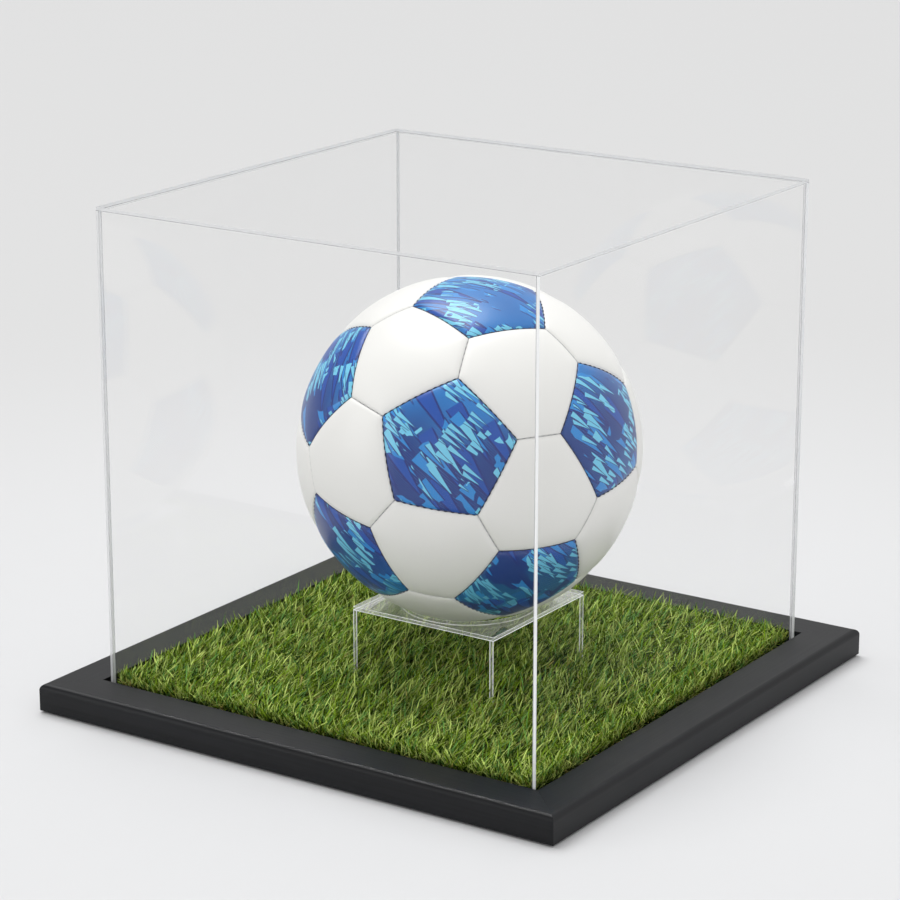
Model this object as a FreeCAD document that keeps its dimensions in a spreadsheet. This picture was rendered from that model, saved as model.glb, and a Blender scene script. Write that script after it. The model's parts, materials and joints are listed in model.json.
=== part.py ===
# Football display case: a framed turf base, a clear dust cover, a clear riser and a ball.
# +Z is up and the origin is the middle of the footprint, at the level it stands on.
# The front is -Y. All sizes are in millimetres.
import FreeCAD
import Part
import math
import os
import Sketcher
from FreeCAD import Placement, Rotation, Vector

doc = FreeCAD.newDocument("FootballDisplayCase")

# ---------------------------------------------------------------------------
# Driving dimensions
# ---------------------------------------------------------------------------

DIMENSIONS = [
    # base frame
    ("base_side", 384.0, "outer side of the square frame"),
    ("frame_top", 19.0, "height of the frame's flat top"),
    ("rail_width", 28.5, "width of a rail, seen from above"),
    ("top_round", 4.0, "rounding of the outer top edge"),
    ("foot_round", 0.8, "easing of the outer bottom edge"),
    ("rabbet_width", 10.0, "how far the rail's lip reaches over the board"),
    ("pad_height", 1.0, "thickness of a felt pad"),
    ("pad_radius", 7.0, "radius of a felt pad"),
    # base board and its screws
    ("board_top", 10.0, "level of the board that carries cover and turf"),
    ("board_thickness", 6.0, "thickness of the base board"),
    ("board_gap", 0.3, "gap between board edge and rabbet"),
    ("screw_radius", 1.5, "shank radius of a board screw"),
    ("screw_head_radius", 3.0, "head radius of a board screw"),
    ("screw_bite", 5.0, "length of shank in the rail's lip"),
    ("screw_hole_radius", 1.7, "clearance hole in the board"),
    ("screw_spacing", 130.0, "distance between screws along a rail"),
    # turf
    ("turf_side", 309.0, "side of the square turf mat"),
    ("backing_thickness", 2.0, "thickness of the turf backing"),
    ("pile_top", 18.0, "level to which the pile stands densely"),
    ("leg_pocket_gap", 0.6, "gap in the pile round each riser leg"),
    # cover
    ("cover_side", 320.0, "outer side of the square cover"),
    ("cover_top", 325.0, "level of the cover's top face"),
    ("sheet_thickness", 2.5, "thickness of the cover's sheets"),
    ("edge_break", 0.3, "polished bevel on a sheet's edges"),
    # riser
    ("riser_side", 107.0, "side of the square riser plate"),
    ("riser_top", 60.0, "level of the riser plate's top face"),
    ("riser_thickness", 2.8, "thickness of the riser's sheets"),
    ("riser_shift_x", 8.0, "how far the riser stands right of the middle"),
    ("riser_shift_y", -1.0, "how far the riser stands behind the middle"),
    ("seat_radius", 44.0, "radius of the hole that the ball sits in"),
    ("seat_gap", 0.3, "clearance between ball and seat edge"),
    # ball
    ("ball_radius", 110.0, "outer radius of the ball"),
    ("panel_thickness", 2.4, "thickness of an outer panel"),
    ("seam_width", 0.6, "width of the seam between panels"),
    ("lining_thickness", 1.2, "thickness of the cloth lining"),
    ("bladder_thickness", 0.8, "wall of the air bladder"),
    ("valve_radius", 3.0, "outer radius of the valve"),
    ("valve_length", 14.0, "length of the valve"),
    ("valve_bore_radius", 0.8, "radius of the valve's needle bore"),
    ("corner_cut", 0.39, "share of each icosahedron edge cut off by a five-sided panel"),
    ("ball_yaw", -126.0, "turn of the ball about Z, in degrees"),
    ("ball_pitch", 60.6, "then about Y, in degrees"),
    ("ball_roll", -25.7, "then about X, in degrees"),
]

sheet = doc.addObject("Spreadsheet::Sheet", "Dimensions")
for row, (alias, value, meaning) in enumerate(DIMENSIONS, start=1):
    sheet.set(f"A{row}", meaning)
    sheet.set(f"B{row}", str(value))
    sheet.setAlias(f"B{row}", alias)
doc.recompute()

sub_parts = []


def dim(alias):
    """A driving dimension's value, for shapes that code builds."""
    return float(sheet.get(alias))


def from_sheet(text):
    """An expression in which each driving dimension is written as $name."""
    return text.replace("$", "Dimensions.")


def keep(obj, label):
    """Marks an object as a sub-part and gives it its name."""
    obj.Label = label
    sub_parts.append(obj)
    return obj


# ---------------------------------------------------------------------------
# Helpers for bodies, sketches and features
# ---------------------------------------------------------------------------

def origin_plane(body, role):
    """One of the body's own origin planes."""
    return next(f for f in body.Origin.OriginFeatures if f.Role == role)


def attach(sketch, body, role, level=None):
    """Lays a sketch on an origin plane, raised by the expression level."""
    sketch.AttachmentSupport = [(origin_plane(body, role), "")]
    sketch.MapMode = "FlatFace"
    if level is not None:
        sketch.setExpression("AttachmentOffset.Base.z", from_sheet(level))


def bind_point(sketch, geometry, position, name, x_text, y_text):
    """Ties a sketch point to two expressions, measured from the sketch origin."""
    for kind, axis, text in (("DistanceX", "x", x_text), ("DistanceY", "y", y_text)):
        text = from_sheet(text)
        value = float(sketch.evalExpression(text))
        constraint = Sketcher.Constraint(kind, -1, 1, geometry, position, value)
        index = sketch.addConstraint(constraint)
        sketch.renameConstraint(index, f"{name}_{axis}")
        sketch.setExpression(f"Constraints.{name}_{axis}", text)


def add_polygon(sketch, corners, prefix="corner"):
    """Draws a closed polygon whose corners are pairs of expressions."""
    points = []
    for x_text, y_text in corners:
        x = float(sketch.evalExpression(from_sheet(x_text)))
        y = float(sketch.evalExpression(from_sheet(y_text)))
        points.append(Vector(x, y, 0))
    first = sketch.GeometryCount
    count = len(points)
    for i in range(count):
        sketch.addGeometry(Part.LineSegment(points[i], points[(i + 1) % count]), False)
    for i in range(count):
        joint = Sketcher.Constraint("Coincident", first + i, 2, first + (i + 1) % count, 1)
        sketch.addConstraint(joint)
    for i, (x_text, y_text) in enumerate(corners):
        bind_point(sketch, first + i, 1, f"{prefix}{i}", x_text, y_text)


def add_circle(sketch, name, x_text, y_text, radius_text):
    """Draws a circle whose centre and radius are expressions."""
    x = float(sketch.evalExpression(from_sheet(x_text)))
    y = float(sketch.evalExpression(from_sheet(y_text)))
    radius = float(sketch.evalExpression(from_sheet(radius_text)))
    index = sketch.addGeometry(Part.Circle(Vector(x, y, 0), Vector(0, 0, 1), radius), False)
    bind_point(sketch, index, 3, name, x_text, y_text)
    constraint = sketch.addConstraint(Sketcher.Constraint("Radius", index, radius))
    sketch.renameConstraint(constraint, f"{name}_radius")
    sketch.setExpression(f"Constraints.{name}_radius", from_sheet(radius_text))


def pad(body, name, sketch, length, symmetric=False):
    """Pads a sketch by the expression length."""
    feature = body.newObject("PartDesign::Pad", name)
    feature.Profile = sketch
    feature.setExpression("Length", from_sheet(length))
    if symmetric:
        feature.SideType = "Symmetric"
    doc.recompute()
    return feature


def pocket(body, name, sketch, length=None, upwards=False):
    """Cuts a sketch through all, or by the expression length, and checks that it cuts."""
    before = body.Shape.Volume
    feature = body.newObject("PartDesign::Pocket", name)
    feature.Profile = sketch
    if length is None:
        feature.Type = "ThroughAll"
        feature.SideType = "Symmetric"
    else:
        feature.setExpression("Length", from_sheet(length))
        feature.Reversed = upwards
    doc.recompute()
    if body.Shape.Volume > before - 1e-3:
        raise RuntimeError(f"{body.Label}: {name} cuts nothing")
    return feature


def edges_where(shape, test):
    """Names of the edges whose middle point and direction pass a test."""
    names = []
    for number, edge in enumerate(shape.Edges, start=1):
        middle = edge.valueAt((edge.FirstParameter + edge.LastParameter) / 2)
        if test(middle, edge):
            names.append(f"Edge{number}")
    return names


def ease(body, kind, name, size, test):
    """Adds a fillet or chamfer of the expression size to the edges that pass a test."""
    tip = body.Tip
    names = edges_where(tip.Shape, test)
    if not names:
        raise RuntimeError(f"{body.Label}: {name} finds no edge")
    feature = body.newObject(f"PartDesign::{kind}", name)
    feature.Base = (tip, names)
    prop = "Radius" if kind == "Fillet" else "Size"
    feature.setExpression(prop, from_sheet(size))
    doc.recompute()
    return feature


def slab(label, west, east, south, north, low, high):
    """A rectangular body between six expressions."""
    body = keep(doc.addObject("PartDesign::Body", label), label)
    outline = body.newObject("Sketcher::SketchObject", f"{label}_outline")
    attach(outline, body, "XY_Plane", low)
    add_polygon(outline, [(west, south), (east, south), (east, north), (west, north)])
    pad(body, f"{label}_pad", outline, f"({high}) - ({low})")
    return body


# ---------------------------------------------------------------------------
# Base frame: four mitred rails, rabbeted for the board
# ---------------------------------------------------------------------------

RAILS = [("frame_rail_front", 0), ("frame_rail_right", 90),
         ("frame_rail_back", 180), ("frame_rail_left", 270)]
SCREW_COLUMNS = (-1, 0, 1)
HALF_BASE = "$base_side / 2"
SCREW_INSET = "($base_side / 2 - $rail_width + $rabbet_width / 2)"


def make_rail(label, turn):
    """A rail, drawn as the front one and turned about Z to its side."""
    body = keep(doc.addObject("PartDesign::Body", label), label)
    section = body.newObject("Sketcher::SketchObject", f"{label}_section")
    attach(section, body, "YZ_Plane")
    outer = f"-{HALF_BASE}"
    inner = f"-{HALF_BASE} + $rail_width"
    lip = f"-{HALF_BASE} + $rail_width - $rabbet_width"
    add_polygon(section, [
        (outer, "$pad_height"), (lip, "$pad_height"), (lip, "$board_top"),
        (inner, "$board_top"), (inner, "$frame_top"), (outer, "$frame_top"),
    ])
    pad(body, f"{label}_bar", section, "$base_side", symmetric=True)

    half = dim("base_side") / 2
    top, foot = dim("frame_top"), dim("pad_height")

    def outer_edge_at(level):
        return lambda p, edge: abs(p.y + half) < 0.01 and abs(p.z - level) < 0.01

    ease(body, "Fillet", f"{label}_top_round", "$top_round", outer_edge_at(top))
    ease(body, "Fillet", f"{label}_foot_round", "$foot_round", outer_edge_at(foot))

    mitre = body.newObject("Sketcher::SketchObject", f"{label}_mitre")
    attach(mitre, body, "XY_Plane")
    inside = f"({HALF_BASE} - $rail_width - 10)"
    outside = f"({HALF_BASE} + 10)"
    for side, name in (("", "east"), ("-", "west")):
        add_polygon(mitre, [
            (f"{side}{outside}", f"-{outside}"),
            (f"{side}{inside}", f"-{inside}"),
            (f"{side}{outside}", f"-{inside}"),
        ], prefix=name)
    pocket(body, f"{label}_mitre_cut", mitre)

    pilots = body.newObject("Sketcher::SketchObject", f"{label}_pilots")
    attach(pilots, body, "XY_Plane", "$board_top")
    for column in SCREW_COLUMNS:
        add_circle(pilots, f"pilot{column + 1}", f"{column} * $screw_spacing",
                   f"-{SCREW_INSET}", "$screw_radius")
    pocket(body, f"{label}_pilot_holes", pilots, "$screw_bite + 1", upwards=True)
    body.Placement = Placement(Vector(0, 0, 0), Rotation(Vector(0, 0, 1), turn))
    return body


for rail_label, rail_turn in RAILS:
    make_rail(rail_label, rail_turn)


def corner_turns():
    """The four quarter turns about Z that carry one corner to the others."""
    return [Rotation(Vector(0, 0, 1), 90 * quarter) for quarter in range(4)]


def make_v_nails():
    """Two V-nails under each mitre, driven up from the foot of the rails."""
    leg, metal, height = 5.0, 0.6, 7.0
    foot = dim("pad_height")
    solids = []
    for inset in (6.0, 12.0):
        apex = dim("base_side") / 2 - inset
        profile = [(0, 0), (leg, 0), (leg, metal), (metal, metal), (metal, leg), (0, leg)]
        points = [Vector(apex - x, -apex + y, foot) for x, y in profile]
        face = Part.Face(Part.makePolygon(points + points[:1]))
        solids.append(face.extrude(Vector(0, 0, height)))
    nails = []
    for turn in corner_turns():
        for solid in solids:
            nails.append(solid.rotated(Vector(0, 0, 0), Vector(0, 0, 1), math.degrees(turn.Angle)))
    node = keep(doc.addObject("Part::Feature", "corner_v_nails"), "corner_v_nails")
    node.Shape = Part.makeCompound(nails)


make_v_nails()


def make_felt_pads():
    """A round felt pad under each mitred corner."""
    discs = []
    for number, (sx, sy) in enumerate([("", "-"), ("", ""), ("-", ""), ("-", "-")], start=1):
        disc = doc.addObject("Part::Cylinder", f"felt_disc_{number}")
        disc.setExpression("Radius", from_sheet("$pad_radius"))
        disc.setExpression("Height", from_sheet("$pad_height"))
        inset = f"({HALF_BASE} - ($rail_width - $rabbet_width) / 2)"
        disc.setExpression("Placement.Base.x", from_sheet(f"{sx}{inset}"))
        disc.setExpression("Placement.Base.y", from_sheet(f"{sy}{inset}"))
        discs.append(disc)
    group = keep(doc.addObject("Part::Compound", "felt_pads"), "felt_pads")
    group.Links = discs


make_felt_pads()


# ---------------------------------------------------------------------------
# Base board, with countersunk holes, and its screws
# ---------------------------------------------------------------------------

def make_board():
    """The board in the rabbet, countersunk from below."""
    edge = f"({HALF_BASE} - $rail_width + $rabbet_width - $board_gap)"
    board = slab("base_board", f"-{edge}", edge, f"-{edge}", edge,
                 "$board_top - $board_thickness", "$board_top")
    holes = board.newObject("Sketcher::SketchObject", "base_board_holes")
    attach(holes, board, "XY_Plane")
    for side, (x_sign, y_sign) in enumerate([("", "-"), ("", ""), ("-", ""), ("", "")]):
        for column in SCREW_COLUMNS:
            along = f"{column} * $screw_spacing"
            across = f"{'-' if side in (0, 3) else ''}{SCREW_INSET}"
            x_text, y_text = (along, across) if side in (0, 2) else (across, along)
            add_circle(holes, f"hole{side}{column + 1}", x_text, y_text, "$screw_hole_radius")
    pocket(board, "base_board_screw_holes", holes)
    under = dim("board_top") - dim("board_thickness")
    ease(board, "Chamfer", "base_board_countersinks", "$screw_head_radius - $screw_hole_radius + 0.1",
         lambda p, edge: abs(p.z - under) < 0.01 and hasattr(edge.Curve, "Radius"))


make_board()


def make_screw():
    """One countersunk screw on the Z axis, its head at the board's underside."""
    under = dim("board_top") - dim("board_thickness")
    shank, head = dim("screw_radius"), dim("screw_head_radius")
    cone = head - shank
    tip = dim("board_top") + dim("screw_bite")
    point = shank * 0.3
    profile = [(0, under), (head, under), (shank, under + cone), (shank, tip - 1.5),
               (point, tip), (0, tip)]
    points = [Vector(x, 0, z) for x, z in profile]
    face = Part.Face(Part.makePolygon(points + points[:1]))
    screw = face.revolve(Vector(0, 0, 0), Vector(0, 0, 1), 360)
    slot_long, slot_wide, slot_deep = 3.4, 0.8, 0.9
    for turn in (0, 90):
        slot = Part.makeBox(slot_long, slot_wide, slot_deep,
                            Vector(-slot_long / 2, -slot_wide / 2, under))
        screw = screw.cut(slot.rotated(Vector(0, 0, 0), Vector(0, 0, 1), turn))
    return screw


def make_screws():
    """Three screws along each rail, as one group."""
    screw = make_screw()
    inset = dim("base_side") / 2 - dim("rail_width") + dim("rabbet_width") / 2
    placed = []
    for turn in corner_turns():
        for column in SCREW_COLUMNS:
            spot = turn.multVec(Vector(column * dim("screw_spacing"), -inset, 0))
            placed.append(screw.translated(spot))
    node = keep(doc.addObject("Part::Feature", "board_screws"), "board_screws")
    node.Shape = Part.makeCompound(placed)


make_screws()

# ---------------------------------------------------------------------------
# Turf: a backing sheet and the pile on it, with pockets for the riser's legs
# ---------------------------------------------------------------------------

TURF_EDGE = "$turf_side / 2"
BACKING_TOP = "$board_top + $backing_thickness"
slab("turf_backing", f"-{TURF_EDGE}", TURF_EDGE, f"-{TURF_EDGE}", TURF_EDGE,
     "$board_top", BACKING_TOP)

pile = slab("turf_pile", f"-{TURF_EDGE}", TURF_EDGE, f"-{TURF_EDGE}", TURF_EDGE,
            BACKING_TOP, "$pile_top")
pockets = pile.newObject("Sketcher::SketchObject", "turf_pile_pockets")
attach(pockets, pile, "XY_Plane")
LEG_SOUTH = "$riser_shift_y - $riser_side / 2"
LEG_NORTH = "$riser_shift_y + $riser_side / 2"
LEGS = [
    ("riser_leg_left", "$riser_shift_x - $riser_side / 2",
     "$riser_shift_x - $riser_side / 2 + $riser_thickness"),
    ("riser_leg_right", "$riser_shift_x + $riser_side / 2 - $riser_thickness",
     "$riser_shift_x + $riser_side / 2"),
]
for leg_label, west, east in LEGS:
    add_polygon(pockets, [
        (f"{west} - $leg_pocket_gap", f"{LEG_SOUTH} - $leg_pocket_gap"),
        (f"{east} + $leg_pocket_gap", f"{LEG_SOUTH} - $leg_pocket_gap"),
        (f"{east} + $leg_pocket_gap", f"{LEG_NORTH} + $leg_pocket_gap"),
        (f"{west} - $leg_pocket_gap", f"{LEG_NORTH} + $leg_pocket_gap"),
    ], prefix=leg_label)
pocket(pile, "turf_pile_leg_pockets", pockets)

# ---------------------------------------------------------------------------
# Cover: two full-depth side sheets, front and back sheets between them, top on all four
# ---------------------------------------------------------------------------

COVER_EDGE = "$cover_side / 2"
COVER_INNER = "($cover_side / 2 - $sheet_thickness)"
UNDER_TOP = "$cover_top - $sheet_thickness"
COVER_SHEETS = [
    ("cover_top", f"-{COVER_EDGE}", COVER_EDGE, f"-{COVER_EDGE}", COVER_EDGE,
     UNDER_TOP, "$cover_top"),
    ("cover_left", f"-{COVER_EDGE}", f"-{COVER_INNER}", f"-{COVER_EDGE}", COVER_EDGE,
     "$board_top", UNDER_TOP),
    ("cover_right", COVER_INNER, COVER_EDGE, f"-{COVER_EDGE}", COVER_EDGE,
     "$board_top", UNDER_TOP),
    ("cover_front", f"-{COVER_INNER}", COVER_INNER, f"-{COVER_EDGE}", f"-{COVER_INNER}",
     "$board_top", UNDER_TOP),
    ("cover_back", f"-{COVER_INNER}", COVER_INNER, COVER_INNER, COVER_EDGE,
     "$board_top", UNDER_TOP),
]


def on_outer_edge(p):
    """True where a point lies on the cover's outline in plan, on both axes or on the top."""
    half = dim("cover_side") / 2
    outside = [abs(abs(p.x) - half) < 0.01, abs(abs(p.y) - half) < 0.01,
               abs(p.z - dim("cover_top")) < 0.01]
    return sum(outside) >= 2


for sheet_label, *limits in COVER_SHEETS:
    cover_sheet = slab(sheet_label, *limits)
    if sheet_label in ("cover_top", "cover_left", "cover_right"):
        ease(cover_sheet, "Chamfer", f"{sheet_label}_bevel", "$edge_break",
             lambda p, edge: on_outer_edge(p))

# ---------------------------------------------------------------------------
# Riser: a plate with a round seat on two side sheets that stand on the backing
# ---------------------------------------------------------------------------

UNDER_PLATE = "$riser_top - $riser_thickness"
riser_plate = slab("riser_plate", "$riser_shift_x - $riser_side / 2",
                   "$riser_shift_x + $riser_side / 2", LEG_SOUTH, LEG_NORTH,
                   UNDER_PLATE, "$riser_top")
seat = riser_plate.newObject("Sketcher::SketchObject", "riser_plate_seat")
attach(seat, riser_plate, "XY_Plane")
add_circle(seat, "seat", "$riser_shift_x", "$riser_shift_y", "$seat_radius")
pocket(riser_plate, "riser_plate_seat_hole", seat)
ease(riser_plate, "Chamfer", "riser_plate_bevel", "$edge_break",
     lambda p, edge: abs(p.z - dim("riser_top")) < 0.01)
for leg_label, west, east in LEGS:
    slab(leg_label, west, east, LEG_SOUTH, LEG_NORTH, BACKING_TOP, UNDER_PLATE)

# ---------------------------------------------------------------------------
# Ball: 12 five-sided and 20 six-sided panels on a lining, a bladder and a valve
# ---------------------------------------------------------------------------

BALL_LEVEL = ("$riser_top + sqrt(($ball_radius + $seat_gap)^2"
              " - ($seat_radius + $edge_break)^2)")
ball_centre = Vector(dim("riser_shift_x"), dim("riser_shift_y"),
                     float(sheet.evalExpression(from_sheet(BALL_LEVEL))))
ball_place = Placement(ball_centre,
                       Rotation(dim("ball_yaw"), dim("ball_pitch"), dim("ball_roll")))


def icosahedron():
    """Unit directions of the 12 corners, and the 20 faces as triples of corners."""
    golden = (1 + math.sqrt(5)) / 2
    corners = []
    for a in (1, -1):
        for b in (1, -1):
            corners += [Vector(0, a, b * golden), Vector(a, b * golden, 0),
                        Vector(b * golden, 0, a)]
    corners = [c.normalize() for c in corners]

    def beside(i, j):
        return abs(corners[i].dot(corners[j]) - 1 / math.sqrt(5)) < 1e-6

    faces = [(i, j, k) for i in range(12) for j in range(i + 1, 12)
             for k in range(j + 1, 12) if beside(i, j) and beside(j, k) and beside(i, k)]
    return corners, faces


def round_order(middle, directions):
    """Directions sorted by angle about a middle direction, right-handed."""
    east = (directions[0] - middle * directions[0].dot(middle)).normalize()
    north = middle.cross(east)
    return sorted(directions, key=lambda d: math.atan2(d.dot(north), d.dot(east)))


def panel_outlines():
    """Corner directions of the five-sided and of the six-sided panels."""
    corners, faces = icosahedron()
    cut = dim("corner_cut")

    def on_edge(i, j):
        return (corners[i] * (1 - cut) + corners[j] * cut).normalize()

    fives, sixes = [], []
    for i, corner in enumerate(corners):
        near = [j for j in range(12)
                if j != i and abs(corner.dot(corners[j]) - 1 / math.sqrt(5)) < 1e-6]
        fives.append(round_order(corner, [on_edge(i, j) for j in near]))
    for i, j, k in faces:
        middle = (corners[i] + corners[j] + corners[k]).normalize()
        ring = [on_edge(i, j), on_edge(j, i), on_edge(j, k), on_edge(k, j),
                on_edge(k, i), on_edge(i, k)]
        sixes.append(round_order(middle, ring))
    return fives, sixes


def facing_turn(middle, first):
    """The rotation that carries -X to the middle direction and +Z towards the first corner."""
    up = (first - middle * first.dot(middle)).normalize()
    side = up.cross(middle * -1)
    turn = FreeCAD.Matrix(-middle.x, side.x, up.x, 0,
                          -middle.y, side.y, up.y, 0,
                          -middle.z, side.z, up.z, 0,
                          0, 0, 0, 1)
    return Placement(turn)


def make_panel(outline):
    """A panel of spherical shell inside a pyramid through the outline, half a seam smaller."""
    outer = dim("ball_radius")
    inner = outer - dim("panel_thickness")
    middle = sum(outline[1:], Vector(outline[0])).normalize()
    place = facing_turn(middle, outline[0])
    local = [place.inverse().multVec(d) for d in outline]
    tip = Vector(-dim("seam_width") / 2 / math.sin(math.radians(18)), 0, 0)
    base = [tip + d * (outer * 1.4) for d in local]
    faces = [Part.Face(Part.makePolygon([tip, base[i], base[(i + 1) % len(base)], tip]))
             for i in range(len(base))]
    count = len(base)
    hub = sum(base[1:], Vector(base[0])) * (1 / count)
    faces += [Part.Face(Part.makePolygon([hub, base[(i + 1) % count], base[i], hub]))
              for i in range(count)]
    pyramid = Part.Solid(Part.Shell(faces))
    shell = Part.makeSphere(outer).cut(Part.makeSphere(inner))
    panel = shell.common(pyramid)
    return panel.transformed(place.toMatrix())


def make_ball_panels():
    """The blue five-sided and the white six-sided panels, and the direction of the valve."""
    fives, sixes = panel_outlines()
    blue = [make_panel(outline) for outline in fives]
    white = [make_panel(outline) for outline in sixes]
    down_back = ball_place.Rotation.inverted().multVec(Vector(-0.5, 0.8, -0.35).normalize())
    middles = [sum(outline[1:], Vector(outline[0])).normalize() for outline in sixes]
    chosen = max(range(len(middles)), key=lambda i: middles[i].dot(down_back))
    reach = middles[chosen] * (dim("ball_radius") * 1.1)
    hole = Part.makeCylinder(dim("valve_radius"), reach.Length, Vector(0, 0, 0), reach)
    white[chosen] = white[chosen].cut(hole)
    for label, solids in (("ball_panels_blue", blue), ("ball_panels_white", white)):
        node = keep(doc.addObject("Part::Feature", label), label)
        node.Shape = Part.makeCompound(solids)
        node.Placement = ball_place
    return middles[chosen]


valve_way = make_ball_panels()
valve_turn = ball_place.Rotation.multiply(Rotation(Vector(0, 0, 1), valve_way))


def make_ball_shell(label, outer_text, inner_text):
    """A spherical wall between two radii, with the valve's hole through it."""
    parts = []
    for name, text in (("outside", outer_text), ("inside", inner_text)):
        ball = doc.addObject("Part::Sphere", f"{label}_{name}")
        ball.setExpression("Radius", from_sheet(text))
        parts.append(ball)
    wall = doc.addObject("Part::Cut", f"{label}_wall")
    wall.Base, wall.Tool = parts
    hole = doc.addObject("Part::Cylinder", f"{label}_valve_hole")
    hole.setExpression("Radius", from_sheet("$valve_radius"))
    hole.setExpression("Height", from_sheet("$ball_radius * 1.1"))
    shell = keep(doc.addObject("Part::Cut", label), label)
    shell.Base, shell.Tool = wall, hole
    shell.Placement = Placement(ball_centre, valve_turn)
    return shell


LINING_OUT = "$ball_radius - $panel_thickness"
LINING_IN = f"{LINING_OUT} - $lining_thickness"
make_ball_shell("ball_lining", LINING_OUT, LINING_IN)
make_ball_shell("ball_bladder", LINING_IN, f"{LINING_IN} - $bladder_thickness")

valve_body = doc.addObject("Part::Cylinder", "valve_body")
valve_body.setExpression("Radius", from_sheet("$valve_radius"))
valve_body.setExpression("Height", from_sheet("$valve_length"))
valve_bore = doc.addObject("Part::Cylinder", "valve_bore")
valve_bore.setExpression("Radius", from_sheet("$valve_bore_radius"))
valve_bore.setExpression("Height", from_sheet("$valve_length * 0.8"))
valve_bore.setExpression("Placement.Base.z", from_sheet("$valve_length * 0.2"))
valve = keep(doc.addObject("Part::Cut", "ball_valve"), "ball_valve")
valve.Base, valve.Tool = valve_body, valve_bore
valve_foot = Vector(0, 0, dim("ball_radius") - 0.5 - dim("valve_length"))
valve.Placement = Placement(ball_centre + valve_turn.multVec(valve_foot), valve_turn)

# ---------------------------------------------------------------------------
# Check every object, then write one STEP file for each sub-part
# ---------------------------------------------------------------------------

doc.recompute()
for obj in doc.Objects:
    if "Invalid" in obj.State or "Error" in obj.State:
        raise RuntimeError(f"{obj.Label} failed: {obj.State}")
for part in sub_parts:
    if part.Shape.isNull() or not part.Shape.isValid() or not part.Shape.Solids:
        raise RuntimeError(f"{part.Label} has no valid solid")

os.makedirs("parts", exist_ok=True)
for part in sub_parts:
    part.Shape.exportStep(f"parts/{part.Label}.step")
    box = part.Shape.BoundBox
    print(f"{part.Label:20s} {len(part.Shape.Solids):3d} solids {part.Shape.Volume / 1000:9.2f} cm3"
          f"  x {box.XMin:7.1f}..{box.XMax:6.1f}  y {box.YMin:7.1f}..{box.YMax:6.1f}"
          f"  z {box.ZMin:6.1f}..{box.ZMax:6.1f}")
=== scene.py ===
"""Looks of a football display case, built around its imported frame.

A black wooden base with a turf bed, a clear lift-off cover, a clear riser and a ball.
Every size is in metres, in the frame's own axes.
"""

import json
import logging
import math
from dataclasses import dataclass, replace
from enum import Enum

import bpy
import numpy as np
from mathutils import Euler, Matrix, Vector


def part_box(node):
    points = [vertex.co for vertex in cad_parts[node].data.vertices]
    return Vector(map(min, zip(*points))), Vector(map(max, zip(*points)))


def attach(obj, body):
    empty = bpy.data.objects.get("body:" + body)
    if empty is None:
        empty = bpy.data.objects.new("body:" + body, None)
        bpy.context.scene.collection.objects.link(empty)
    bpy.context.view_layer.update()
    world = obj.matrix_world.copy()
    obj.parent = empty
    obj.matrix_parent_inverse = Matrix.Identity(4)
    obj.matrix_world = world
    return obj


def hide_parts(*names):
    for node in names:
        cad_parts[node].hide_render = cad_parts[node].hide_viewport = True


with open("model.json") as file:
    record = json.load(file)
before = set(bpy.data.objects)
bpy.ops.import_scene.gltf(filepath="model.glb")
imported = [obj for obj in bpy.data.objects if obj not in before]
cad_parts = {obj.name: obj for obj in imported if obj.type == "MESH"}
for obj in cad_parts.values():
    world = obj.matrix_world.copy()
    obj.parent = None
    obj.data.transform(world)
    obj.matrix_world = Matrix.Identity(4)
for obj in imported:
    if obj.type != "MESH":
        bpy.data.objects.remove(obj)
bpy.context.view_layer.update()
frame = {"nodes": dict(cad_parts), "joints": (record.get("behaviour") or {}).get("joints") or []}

MM = 0.001
Triple = tuple[float, float, float]
Colour = Triple


# ---------------------------------------------------------------- shader maths


class Field:
    """A node's output, with arithmetic that adds Math nodes."""

    def __init__(self, board: "Board", socket: bpy.types.NodeSocket) -> None:
        """Wraps a socket of the board's node tree."""
        self.board = board
        self.socket = socket

    def out(self, name: str) -> "Field":
        """Another output of the same node, by name."""
        return Field(self.board, self.socket.node.outputs[name])

    def __add__(self, other: "Field | float") -> "Field":
        """Sum."""
        return self.board.math("ADD", self, other)

    def __radd__(self, other: float) -> "Field":
        """Sum, number first."""
        return self.board.math("ADD", other, self)

    def __sub__(self, other: "Field | float") -> "Field":
        """Difference."""
        return self.board.math("SUBTRACT", self, other)

    def __rsub__(self, other: float) -> "Field":
        """Difference, number first."""
        return self.board.math("SUBTRACT", other, self)

    def __mul__(self, other: "Field | float") -> "Field":
        """Product."""
        return self.board.math("MULTIPLY", self, other)

    def __rmul__(self, other: float) -> "Field":
        """Product, number first."""
        return self.board.math("MULTIPLY", other, self)

    def __truediv__(self, other: "Field | float") -> "Field":
        """Quotient."""
        return self.board.math("DIVIDE", self, other)

    def __pow__(self, other: float) -> "Field":
        """Power."""
        return self.board.math("POWER", self, other)

    def __abs__(self) -> "Field":
        """Size without its sign."""
        return self.board.math("ABSOLUTE", self)

    def __gt__(self, other: "Field | float") -> "Field":
        """1 where greater, else 0."""
        return self.board.math("GREATER_THAN", self, other)

    def __lt__(self, other: "Field | float") -> "Field":
        """1 where less, else 0."""
        return self.board.math("LESS_THAN", self, other)

    def highest(self, other: "Field | float") -> "Field":
        """The greater of the two."""
        return self.board.math("MAXIMUM", self, other)

    def eased(self, start: float, end: float) -> "Field":
        """A smooth step.

        Args:
            start: value at which the result is 0.
            end: value at which the result is 1.

        Returns:
            The step, from 0 to 1.
        """
        return self.board.node(
            "ShaderNodeMapRange",
            {"interpolation_type": "SMOOTHSTEP"},
            {"Value": self, "From Min": start, "From Max": end},
        )


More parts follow.
